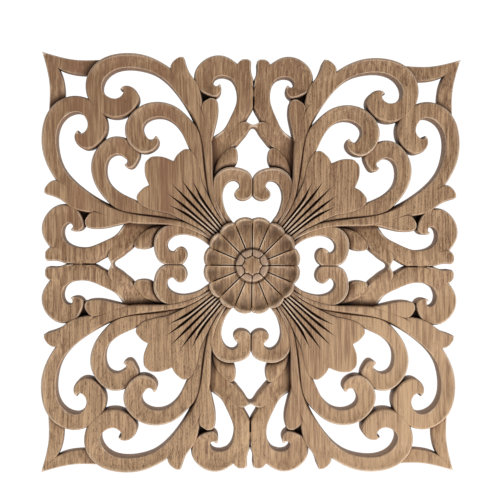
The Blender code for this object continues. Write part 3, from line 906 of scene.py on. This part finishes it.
@dataclass
class Onlay:
    """The whole carved panel, in one piece."""

    smooth_angle: float = 20.5  # degrees, above which an edge is sharp
    board: float = 0.21  # metres, the side of the waste board, which is wider than the panel

    def build(self) -> bpy.types.Object:
        """Joins the quarter to the rosette, cuts the veins and mirrors the result.

        Returns:
            The finished panel.
        """
        bodies, cutters = Quarter().build()
        deepest = OVERRUN + STAGGER * (len(bodies) + 1)
        onlay = Rosette().build(deepest)
        self._boolean(onlay, "UNION", self._group("leaves", bodies))
        self._boolean(onlay, "DIFFERENCE", self._group("veins", cutters))
        self._boolean(onlay, "DIFFERENCE", self._group("waste", [self._waste(2 * deepest)]))
        mirror = onlay.modifiers.new("Mirror", "MIRROR")
        mirror.use_axis = (True, False, True)
        mirror.use_bisect_axis = (True, False, True)
        mirror.bisect_threshold = 1e-7
        mirror.use_clip = True
        mirror.merge_threshold = 1e-6
        self._apply(onlay)
        onlay.hide_render = False
        return onlay

    def dress(self, onlay: bpy.types.Object) -> None:
        """Gives the panel its wood and fixes its shading.

        Args:
            onlay: The panel.
        """
        onlay.data.materials.clear()
        onlay.data.materials.append(RawWood().material())
        onlay.data.shade_smooth()
        onlay.data.set_sharp_from_angle(angle=math.radians(self.smooth_angle))

    def _waste(self, depth: float) -> bpy.types.Object:
        """Makes the board of wood that is sawn off behind the back.

        Args:
            depth: How thick it is.

        Returns:
            A hidden object, to be cut away.
        """
        mesh = bmesh.new()
        bmesh.ops.create_cube(mesh, size=1.0)
        bmesh.ops.scale(mesh, vec=(self.board, depth * MM, self.board), verts=mesh.verts)
        bmesh.ops.translate(mesh, vec=(0, depth * MM / 2, 0), verts=mesh.verts)
        return solid_object("waste_board", mesh)

    def _group(self, name: str, members: Iterable[bpy.types.Object]) -> bpy.types.Collection:
        """Moves helper objects to a collection of their own.

        Args:
            name: The collection's name.
            members: The objects.

        Returns:
            The collection.
        """
        made = bpy.data.collections.new(name)
        for member in members:
            made.objects.link(member)
            bpy.context.scene.collection.objects.unlink(member)
        bpy.context.scene.collection.children.link(made)
        return made

    def _boolean(self, target: bpy.types.Object, operation: str, group: bpy.types.Collection) -> None:
        """Adds a Boolean of a collection to the target.

        Args:
            target: The object that it works on.
            operation: The modifier's operation.
            group: What it joins or cuts away.
        """
        modifier = target.modifiers.new(operation.title(), "BOOLEAN")
        modifier.operation = operation
        modifier.solver = "MANIFOLD"
        modifier.operand_type = "COLLECTION"
        modifier.collection = group

    def _apply(self, onlay: bpy.types.Object) -> None:
        """Makes the modified shape the panel's own mesh and removes the helpers.

        Args:
            onlay: The panel.
        """
        bpy.context.view_layer.update()
        graph = bpy.context.evaluated_depsgraph_get()
        shaped = bpy.data.meshes.new_from_object(onlay.evaluated_get(graph))
        onlay.modifiers.clear()
        onlay.data = shaped
        for name in ("leaves", "veins", "waste"):
            group = bpy.data.collections[name]
            for helper in list(group.objects):
                bpy.data.objects.remove(helper)
            bpy.data.collections.remove(group)


Operand = Union["Term", float]


class Term:
    """A socket of a shader, with the usual arithmetic for values."""

    def __init__(self, bench: "Bench", socket: bpy.types.NodeSocket) -> None:
        """Wraps a socket."""
        self.bench = bench
        self.socket = socket

    def __add__(self, other: Operand) -> "Term":
        """This plus the other."""
        return self.bench.maths("ADD", self, other)

    __radd__ = __add__

    def __sub__(self, other: Operand) -> "Term":
        """This less the other."""
        return self.bench.maths("SUBTRACT", self, other)

    def __rsub__(self, other: Operand) -> "Term":
        """The other less this."""
        return self.bench.maths("SUBTRACT", other, self)

    def __mul__(self, other: Operand) -> "Term":
        """This times the other."""
        return self.bench.maths("MULTIPLY", self, other)

    __rmul__ = __mul__

    def __truediv__(self, other: Operand) -> "Term":
        """This over the other."""
        return self.bench.maths("DIVIDE", self, other)

    def __rtruediv__(self, other: Operand) -> "Term":
        """The other over this."""
        return self.bench.maths("DIVIDE", other, self)

    def __abs__(self) -> "Term":
        """This without its sign."""
        return self.bench.maths("ABSOLUTE", self)


class Bench:
    """Lays out the nodes of one shader."""

    def __init__(self, tree: bpy.types.NodeTree) -> None:
        """Takes the tree to work on."""
        self.tree = tree

    def node(
        self,
        kind: str,
        settings: dict[str, Any] | None = None,
        inputs: dict[int | str, Any] | None = None,
        output: int | str = 0,
    ) -> Term:
        """Adds a node.

        Args:
            kind: The node's type.
            settings: Its properties, which are set first.
            inputs: Values or terms for its sockets, by name or number.
            output: The socket to give back.

        Returns:
            That output, as a term.
        """
        made = self.tree.nodes.new(kind)
        for name, value in (settings or {}).items():
            setattr(made, name, value)
        for name, value in (inputs or {}).items():
            if isinstance(value, Term):
                self.tree.links.new(value.socket, made.inputs[name])
            else:
                made.inputs[name].default_value = value
        return Term(self, made.outputs[output])

    def maths(self, operation: str, *values: Operand) -> Term:
        """One Math node on values."""
        return self.node("ShaderNodeMath", {"operation": operation}, dict(enumerate(values)))

    def step(self, value: Term, low: float, high: float) -> Term:
        """A smooth step of the value, from 0 at low to 1 at high."""
        settings = {"interpolation_type": "SMOOTHSTEP"}
        return self.node("ShaderNodeMapRange", settings, {0: value, 1: low, 2: high})

    def colour_mix(self, share: Operand, first: Any, second: Any) -> Term:
        """Mixes two colours.

        Args:
            share: How much of the second.
            first: A colour or a term.
            second: A colour or a term.

        Returns:
            The mixed colour.
        """
        settings = {"data_type": "RGBA", "blend_type": "MIX"}
        return self.node("ShaderNodeMix", settings, {0: share, 6: first, 7: second}, 2)

    def noise(self, place: Term, detail: float, roughness: float = 0.5) -> Term:
        """Cloudy noise from 0 to 1 round 0.5, whose cells are about one unit across."""
        inputs = {"Vector": place, "Scale": 1.0, "Detail": detail, "Roughness": roughness}
        return self.node("ShaderNodeTexNoise", {}, inputs)

    def point(self, x: Operand, y: Operand, z: Operand) -> Term:
        """A vector of three values."""
        return self.node("ShaderNodeCombineXYZ", {}, {0: x, 1: y, 2: z})


@dataclass(frozen=True)
class Band:
    """An upright band of darker wood, or of paler wood where its strength is below zero."""

    across: float
    width: float
    above: float  # strength in the upper half
    below: float


Colour = tuple[float, float, float, float]
Pair = tuple[float, float]  # where a smooth step begins and ends, or a cell's width and height
Place = tuple[Term, Term, Term]  # across, depth and up


@dataclass(frozen=True)
class RawWood:
    """Bare, finely sanded hardwood with upright grain, open dark pores, paler sanded edges and painted
    light and shade.
    """

    dark: Colour = (0.285, 0.145, 0.070, 1)
    pale: Colour = (0.67, 0.430, 0.240, 1)
    russet: Colour = (0.34, 0.150, 0.080, 1)
    pore: Colour = (0.080, 0.034, 0.014, 1)
    # Painted shade for recesses, and below it a near black painted shade for the deepest crevices.
    shade: Colour = (0.120, 0.048, 0.019, 1)
    crevice_shade: Colour = (0.014, 0.005, 0.002, 1)
    # Pale sanded edges and ribs: partly wear, partly a painted highlight.
    sanded: Colour = (0.96, 0.76, 0.58, 1)
    # Painted shade in the petals' scoops.
    scooped: Colour = (0.10, 0.050, 0.024, 1)
    # Painted shade on the side walls.
    sawn: Colour = (0.17, 0.075, 0.036, 1)
    teeth: Colour = (0.60, 0.42, 0.31, 1)

    # Cells of the grain's noises, in millimetres.
    wander_cell: Pair = (45, 70)
    fibre_cell: Pair = (0.75, 16)
    line_cell: Pair = (1.5, 60)
    cloud_cell: Pair = (8, 150)
    patch_cell: Pair = (9, 30)
    pore_cells: tuple[Pair, ...] = ((0.32, 0.52), (0.42, 1.9))

    wander: float = 5.0  # millimetres that the grain strays sideways
    lean: float = 0.012  # millimetres that it leans per millimetre up
    band_shift: float = 2.5  # millimetres that the bands stand to the right of their places
    cloud: float = 0.9  # how far the clouds change the darkness, from end to end
    lightness: float = 0.46
    # Painted light fall-off: darker towards the top and lighter to the right.
    painted_falloff_up: float = -0.0022  # per millimetre
    painted_falloff_across: float = 0.0003
    darkness_share: float = 0.42
    line_share: float = 2.2
    fibre_share: float = 2.6
    light_range: Pair = (-0.3, 1.25)  # from the dark colour to the pale one
    upper_range: Pair = (-18, 18)  # millimetres up, from the lower half's bands to the upper's
    red_range: Pair = (0.1, 0.7)  # of darkness
    red_side: Pair = (60, -60)  # millimetres across
    redness: float = 0.45

    crowd_range: Pair = (-2200, 1800)  # of across times up, in square millimetres
    rare: float = 0.78  # share of the cells that hold no pore, at the least crowded
    crowd_share: float = 0.3
    patch_share: float = 0.8
    ragged: float = 0.9  # how far the fibres roughen a pore's outline
    pore_edge: Pair = (0.52, 0.15)
    pore_lot: Pair = (-0.1, 0.3)
    pore_strength: Pair = (0.42, 0.28)  # at the least crowded, and what crowding adds

    roughness: Pair = (0.55, 0.18)  # the least, and what rough fibres add
    rough_range: Pair = (0.2, 0.9)
    rough_pores: float = 0.3
    fibre_relief: float = 0.35  # beside a pore's depth of 1
    bump_strength: float = 0.6
    bump_depth: float = 0.00012  # metres

    # Radii round the rosette's middle, in millimetres.
    teeth_outside: Pair = (8.2, 7.6)
    teeth_inside: Pair = (4.3, 5.0)
    scoop_inside: Pair = (12.5, 19.5)
    scoop_outside: Pair = (22.3, 20.8)
    rim_range: Pair = (23.6, 22.9)
    teeth_share: float = 0.55
    scoop_shade_share: float = 0.75
    scoop_sides: Pair = (0.6, -0.4)  # middle value and swing of the painted shade across a petal
    rim_share: float = 0.4  # how much less the rosette's edges are sanded and given the painted highlight
    pale_edge_and_highlight_share: float = 0.9
    wall_shade_share: float = 0.55

    carved_range: Pair = (-0.5, -2.5)  # y in millimetres, from the back to the carved side
    # How level a surface is: 1 on a face, 0 on a side wall.
    pale_edge_level: Pair = (0.985, 0.92)
    steep_level: Pair = (0.5, 0.85)
    steep_share: Pair = (0.2, 0.8)  # on the steep part of an edge, and what the level part adds
    rib_level: Pair = (0.6, 0.9)
    wall_level: Pair = (0.5, 0.15)
    bright_level: Pair = (0.2, 0.5)
    # Ambient occlusion: outside, how open the place is, and inside, how thick the wood is.
    occlusion_samples: int = 12
    open_reach: float = 3.2  # millimetres
    thick_reach: float = 1.8
    convex_range: Pair = (0.93, 0.70)
    thin_range: Pair = (0.66, 0.48)
    reached_range: Pair = (0.3, 0.6)
    # Painted shade in recesses and crevices, by how closed in the place is.
    shade_range: Pair = (0.97, 0.45)
    shade_share: float = 0.95
    crevice_shade_range: Pair = (0.65, 0.20)

    bands: tuple[Band, ...] = (
        Band(-81, 6, 0.45, 0.05),
        Band(-62, 5, 0.45, 0.10),
        Band(-42, 5, 0.40, 0.00),
        Band(0, 6, 0.00, -0.25),
        Band(18, 8, 0.40, 0.40),
        Band(30, 6, -0.10, 0.35),
        Band(38, 6, -0.35, 0.00),
        Band(62, 9, 0.00, -0.35),
        Band(76, 7, -0.35, -0.35),
    )

    def material(self) -> bpy.types.Material:
        """Builds the wood's shader.

        Returns:
            The material.
        """
        material = bpy.data.materials.new("raw_wood")
        material.use_nodes = True
        shader = material.node_tree.nodes["Principled BSDF"]
        bench = Bench(material.node_tree)
        place = bench.node("ShaderNodeTexCoord", {}, {}, "Object")
        x, y, z = (
            bench.node("ShaderNodeSeparateXYZ", {}, {0: place}, axis) * (1 / MM) for axis in range(3)
        )
        stray = bench.noise(self._stretched(bench, (x, y, z), self.wander_cell), detail=1.0)
        grain = (x + (stray * self.wander + z * self.lean), y, z)

        fibre = bench.noise(self._stretched(bench, grain, self.fibre_cell), detail=3.0, roughness=0.65)
        colour = self._heartwood(bench, grain, fibre, x)
        pores = self._pores(bench, grain, fibre, x, z)
        colour = bench.colour_mix(pores, colour, self.pore)
        colour = self._worked(bench, colour, x, y, z)

        bench.tree.links.new(colour.socket, shader.inputs["Base Color"])
        least, added = self.roughness
        rough = bench.step(fibre + pores * self.rough_pores, *self.rough_range) * added + least
        bench.tree.links.new(rough.socket, shader.inputs["Roughness"])
        relief = fibre * self.fibre_relief - pores
        depth = {"Strength": self.bump_strength, "Distance": self.bump_depth, "Height": relief}
        bump = bench.node("ShaderNodeBump", {}, depth)
        bench.tree.links.new(bump.socket, shader.inputs["Normal"])
        return material

    def _stretched(self, bench: Bench, grain: Place, cell: Pair) -> Term:
        """Counts a place in cells.

        Args:
            bench: Where the nodes go.
            grain: Across, depth and up, in millimetres.
            cell: The cells' width and height.

        Returns:
            The place as a vector.
        """
        across, depth, up = grain
        wide, tall = cell
        return bench.point(across / wide, depth / wide, up / tall)

    def _heartwood(self, bench: Bench, grain: Place, fibre: Term, x: Term) -> Term:
        """The wood's colour: bands, growth lines and fibres, with a painted light fall-off, darker up
        and lighter right.

        Args:
            bench: Where the nodes go.
            grain: Coordinates that follow the grain.
            fibre: Fine upright noise.
            x: Across, in millimetres.

        Returns:
            The colour.
        """
        across, _, up = grain
        upper = bench.step(up, *self.upper_range)
        place = self._stretched(bench, grain, self.cloud_cell)
        clouds = bench.noise(place, detail=2.0, roughness=0.55)
        darkness = clouds * self.cloud - self.cloud / 2
        for band in self.bands:
            offset = (across - self.band_shift - band.across) / band.width
            strength = upper * (band.above - band.below) + band.below
            darkness = darkness + bench.maths("EXPONENT", offset * offset * -1) * strength
        place = self._stretched(bench, grain, self.line_cell)
        lines = bench.noise(place, detail=3.0, roughness=0.7)
        # Painted light fall-off: darker towards the top and lighter to the right.
        light = up * self.painted_falloff_up + x * self.painted_falloff_across + self.lightness
        light = light - darkness * self.darkness_share
        light = light + (lines - 0.5) * self.line_share + (fibre - 0.5) * self.fibre_share
        colour = bench.colour_mix(bench.step(light, *self.light_range), self.dark, self.pale)
        red = bench.step(darkness, *self.red_range) * bench.step(x, *self.red_side)
        return bench.colour_mix(red * self.redness, colour, self.russet)

    def _pores(self, bench: Bench, grain: Place, fibre: Term, x: Term, z: Term) -> Term:
        """The open pores: dark dots and dashes, crowded in two of the four corners.

        Args:
            bench: Where the nodes go.
            grain: Coordinates that follow the grain.
            fibre: Fine upright noise, which makes the pores uneven.
            x: Across, in millimetres.
            z: Up, in millimetres.

        Returns:
            How much of a pore there is, from 0 to 1.
        """
        crowded = bench.step(x * z, *self.crowd_range)
        patch = bench.noise(self._stretched(bench, grain, self.patch_cell), detail=1.0)
        missing = self.rare - crowded * self.crowd_share - (patch - 0.5) * self.patch_share
        marks = []
        for cell in self.pore_cells:
            spread = {"Vector": self._stretched(bench, grain, cell), "Scale": 1.0}
            away = bench.node("ShaderNodeTexVoronoi", {}, spread, "Distance")
            drawn = bench.node("ShaderNodeTexVoronoi", {}, spread, "Color")
            lot = bench.node("ShaderNodeSeparateColor", {}, {0: drawn})
            uneven = away + (fibre - 0.5) * self.ragged
            chosen = bench.step(lot - missing, *self.pore_lot)
            marks.append(bench.step(uneven, *self.pore_edge) * chosen)
        least, added = self.pore_strength
        return bench.maths("MAXIMUM", *marks) * (crowded * added + least)

    def _worked(self, bench: Bench, colour: Term, x: Term, y: Term, z: Term) -> Term:
        """Pale teeth round the boss, sanded edges with a painted highlight, painted shade in hollows and
        on walls.

        Args:
            bench: Where the nodes go.
            colour: The wood's own colour.
            x: Across, in millimetres.
            y: Behind the back, in millimetres.
            z: Up, in millimetres.

        Returns:
            The colour.
        """
        radius = bench.maths("SQRT", x * x + z * z)
        carved = bench.step(y, *self.carved_range)
        ring = bench.step(radius, *self.teeth_outside) * bench.step(radius, *self.teeth_inside)
        colour = bench.colour_mix(ring * carved * self.teeth_share, colour, self.teeth)
        # Painted shade in the petals' scoops, kept to the carved side.
        scoop_shade_mask = bench.step(radius, *self.scoop_inside) * bench.step(radius, *self.scoop_outside)
        scoop_shade_mask = scoop_shade_mask * carved
        middle, swing = self.scoop_sides
        turn = bench.maths("ARCTAN2", z, x)
        mid_petal = bench.maths("COSINE", turn * Rosette.petals) * swing + middle
        colour = bench.colour_mix(scoop_shade_mask * mid_petal * self.scoop_shade_share, colour, self.scooped)

        level = abs(bench.node("ShaderNodeSeparateXYZ", {}, {0: self._normal(bench)}, 1))
        open_air = self._occlusion(bench, self.open_reach, inside=False)
        thick = self._occlusion(bench, self.thick_reach, inside=True)
        # Pale sanded edges and thin ribs: partly wear, partly a painted highlight.
        steep, added = self.steep_share
        edge = bench.step(level, *self.pale_edge_level)
        edge = edge * (bench.step(level, *self.steep_level) * added + steep)
        pale_edge_and_highlight = edge * bench.step(thick, *self.convex_range) * bench.step(open_air, *self.reached_range)
        rib = bench.step(thick, *self.thin_range) * bench.step(level, *self.rib_level)
        pale_edge_and_highlight = bench.maths("MAXIMUM", pale_edge_and_highlight, rib)
        rim = bench.step(radius, *self.rim_range) * self.rim_share
        pale_edge_and_highlight = pale_edge_and_highlight * (1 - scoop_shade_mask) * (self.pale_edge_and_highlight_share - rim) * carved
        # Painted shade on the side walls.
        wall = bench.step(level, *self.wall_level) * self.wall_shade_share
        colour = bench.colour_mix(wall, colour, self.sawn)
        colour = bench.colour_mix(pale_edge_and_highlight * bench.step(level, *self.bright_level), colour, self.sanded)
        # Painted shade in recesses, and darker still in the deepest crevices.
        recess_shade = bench.step(open_air, *self.shade_range) * self.shade_share
        colour = bench.colour_mix(recess_shade, colour, self.shade)
        return bench.colour_mix(bench.step(open_air, *self.crevice_shade_range), colour, self.crevice_shade)

    def _occlusion(self, bench: Bench, reach: float, inside: bool) -> Term:
        """Measures how open a place is, or from inside how thick the wood is.

        Args:
            bench: Where the node goes.
            reach: How far it looks, in millimetres.
            inside: Whether it looks into the wood.

        Returns:
            From 0, closed in or thin, to 1.
        """
        settings = {"samples": self.occlusion_samples, "only_local": True, "inside": inside}
        return bench.node("ShaderNodeAmbientOcclusion", settings, {"Distance": reach * MM}, "AO")

    def _normal(self, bench: Bench) -> Term:
        """The way the surface faces."""
        return bench.node("ShaderNodeNewGeometry", {}, {}, "Normal")


@dataclass(frozen=True)
class Studio:
    """A pale floor, soft light and the camera."""

    backdrop: float = 1.05  # brightness behind the panel
    overhead: float = 0.50
    underneath: float = 0.66
    front: float = 0.12
    behind_range: Pair = (0.0, 0.5)  # of the way looked, where the backdrop comes in
    front_range: Pair = (0.0, -0.9)
    lamp_power: float = 6.0  # watts
    lamp_place: tuple[float, float, float] = (0.28, -0.58, -0.42)
    lamp_size: float = 0.8
    camera_place: tuple[float, float, float] = (-0.0201, -0.400, 0.0194)
    camera_turn: tuple[float, float, float] = (-2.788, -1.756, 0.587)  # yaw, pitch, roll in degrees
    lens: float = 59.1  # millimetres
    floor_place: tuple[float, float, float] = (0, -0.1, -0.62)
    floor_half: float = 1.2
    floor_colour: Colour = (0.86, 0.86, 0.85, 1)

    def build(self) -> None:
        """Sets the studio up."""
        self._camera()
        self._world()
        self._floor()
        self._lamp()

    def _camera(self) -> None:
        """Stands the camera a little left of and above the panel's middle."""
        data = bpy.data.cameras.new("camera")
        data.lens = self.lens
        data.sensor_width = 36.0
        data.clip_start = 0.01
        camera = bpy.data.objects.new("camera", data)
        bpy.context.scene.collection.objects.link(camera)
        upright = Matrix(((1, 0, 0), (0, 0, -1), (0, 1, 0)))
        yaw, pitch, roll = (
            Matrix.Rotation(math.radians(angle), 3, axis) for angle, axis in zip(self.camera_turn, "ZXZ")
        )
        place = (yaw @ pitch @ upright @ roll).to_4x4()
        place.translation = self.camera_place
        camera.matrix_world = place
        bpy.context.scene.camera = camera

    def _world(self) -> None:
        """Lights the panel softly from all round: brightest behind, dimmest in front."""
        world = bpy.data.worlds.new("studio")
        world.use_nodes = True
        bench = Bench(world.node_tree)
        way = bench.node("ShaderNodeTexCoord", {}, {}, "Generated")
        behind = bench.node("ShaderNodeSeparateXYZ", {}, {0: way}, 1)
        up = bench.node("ShaderNodeSeparateXYZ", {}, {0: way}, 2)
        around = (self.overhead + self.underneath) / 2 + up * ((self.overhead - self.underneath) / 2)
        far = bench.step(behind, *self.behind_range)
        near = bench.step(behind, *self.front_range)
        strength = around * (1 - far) * (1 - near) + far * self.backdrop + near * self.front
        background = world.node_tree.nodes["Background"]
        bench.tree.links.new(strength.socket, background.inputs["Strength"])
        background.inputs["Color"].default_value = (1, 1, 1, 1)
        bpy.context.scene.world = world
        bpy.context.scene.view_settings.view_transform = "Standard"

    def _floor(self) -> None:
        """Lays a plain pale floor well below the panel."""
        mesh = bmesh.new()
        bmesh.ops.create_grid(mesh, x_segments=1, y_segments=1, size=self.floor_half)
        bmesh.ops.translate(mesh, vec=self.floor_place, verts=mesh.verts)
        data = bpy.data.meshes.new("floor")
        mesh.to_mesh(data)
        mesh.free()
        data.materials.append(self._paint())
        floor = bpy.data.objects.new("floor", data)
        bpy.context.scene.collection.objects.link(floor)

    def _paint(self) -> bpy.types.Material:
        """Mixes the floor's matt pale paint.

        Returns:
            The material.
        """
        material = bpy.data.materials.new("pale_floor")
        material.use_nodes = True
        shader = material.node_tree.nodes["Principled BSDF"]
        shader.inputs["Base Color"].default_value = self.floor_colour
        shader.inputs["Roughness"].default_value = 0.8
        return material

    def _lamp(self) -> None:
        """Stands a square soft light in front, low on the right, facing the panel's middle."""
        data = bpy.data.lights.new("key_softbox", "AREA")
        data.shape = "SQUARE"
        data.size = self.lamp_size
        data.energy = self.lamp_power
        lamp = bpy.data.objects.new("key_softbox", data)
        bpy.context.scene.collection.objects.link(lamp)
        lamp.location = self.lamp_place
        lamp.rotation_mode = "QUATERNION"
        lamp.rotation_quaternion = (-Vector(self.lamp_place)).to_track_quat("-Z", "Y")


def main() -> None:
    """Builds the panel and the studio."""
    logging.basicConfig(level=logging.INFO, format="%(message)s")
    panel = Onlay()
    onlay = panel.build()
    panel.dress(onlay)
    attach(onlay, "root")
    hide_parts("carved_onlay")
    log.info("%s: %d faces", onlay.name, len(onlay.data.polygons))
    Studio().build()


if __name__ == "__main__":
    main()
